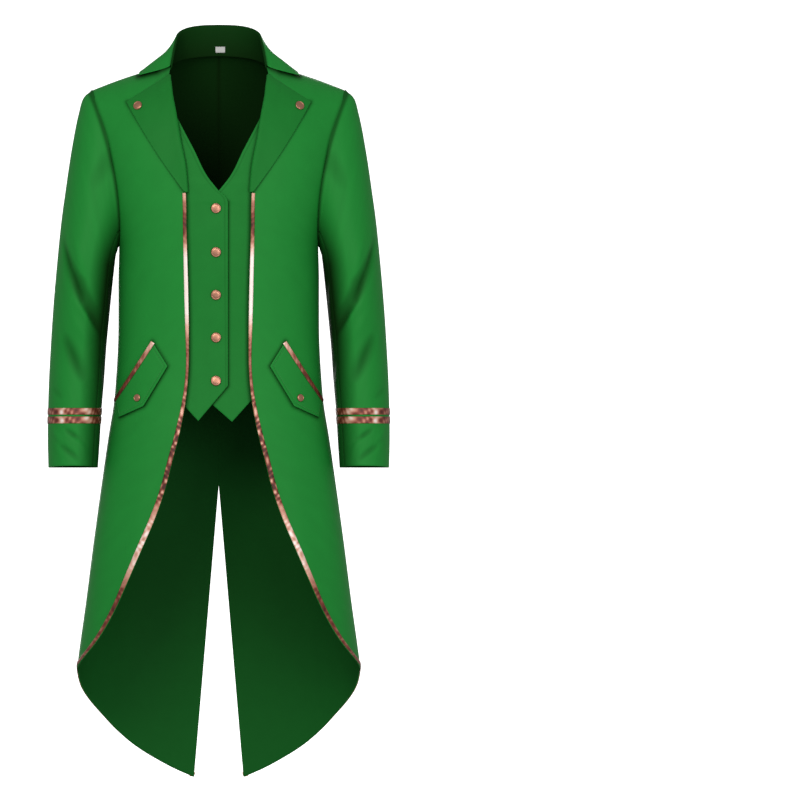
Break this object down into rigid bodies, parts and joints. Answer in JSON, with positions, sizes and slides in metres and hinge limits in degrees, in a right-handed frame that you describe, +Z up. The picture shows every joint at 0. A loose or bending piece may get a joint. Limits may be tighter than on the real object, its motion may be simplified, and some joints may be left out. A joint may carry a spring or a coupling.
{
  "type": "frock coat",
  "caption": "Long tail coat with a sewn-in false waistcoat, wide pointed lapels, stand-fall collar, slanted pocket flaps, back belt and braid trim, shown as worn and hollow.",
  "frame": {"origin": "where the wearer's shoulders carry the coat: the middle of the body, between the tops of the two shoulder seams at the neck", "axes": "+Z up along the wearer's spine, +X towards the wearer's left, +Y towards the wearer's back, so the front of the coat faces -Y"},
  "size_m": [0.5622, 0.2824, 1.2278],
  "materials": {
    "coat_cloth": "smooth green suiting with a soft sheen",
    "waistcoat_cloth": "smooth green suiting with a soft sheen",
    "trim": "shiny rose-copper sequin braid",
    "button_metal": "polished copper-coloured shank buttons",
    "label": "plain white satin"
  },
  "bodies": {
    "root": {"back_belt": "coat_cloth", "coat_back_L": "coat_cloth", "coat_back_R": "coat_cloth", "coat_front_L": "coat_cloth", "coat_front_R": "coat_cloth", "collar": "coat_cloth", "lapel_L": "coat_cloth", "lapel_R": "coat_cloth", "pocket_flap_L": "coat_cloth", "pocket_flap_R": "coat_cloth", "sleeve_under_L": "coat_cloth", "sleeve_under_R": "coat_cloth", "sleeve_upper_L": "coat_cloth", "sleeve_upper_R": "coat_cloth", "waistcoat_front_L": "waistcoat_cloth", "waistcoat_front_R": "waistcoat_cloth", "cuff_band_1_L": "trim", "cuff_band_1_R": "trim", "cuff_band_2_L": "trim", "cuff_band_2_R": "trim", "flap_braid_L": "trim", "flap_braid_R": "trim", "front_braid_L": "trim", "front_braid_R": "trim", "hem_braid_L": "trim", "hem_braid_R": "trim", "vent_bar": "trim", "vent_braid_L": "trim", "vent_braid_R": "trim", "belt_button_L": "button_metal", "belt_button_R": "button_metal", "cuff_button_1_L": "button_metal", "cuff_button_1_R": "button_metal", "cuff_button_2_L": "button_metal", "cuff_button_2_R": "button_metal", "cuff_button_3_L": "button_metal", "cuff_button_3_R": "button_metal", "flap_button_L": "button_metal", "flap_button_R": "button_metal", "lapel_button_L": "button_metal", "lapel_button_R": "button_metal", "waistcoat_button_1": "button_metal", "waistcoat_button_2": "button_metal", "waistcoat_button_3": "button_metal", "waistcoat_button_4": "button_metal", "waistcoat_button_5": "button_metal", "neck_label": "label"}
  },
  "joints": []
}
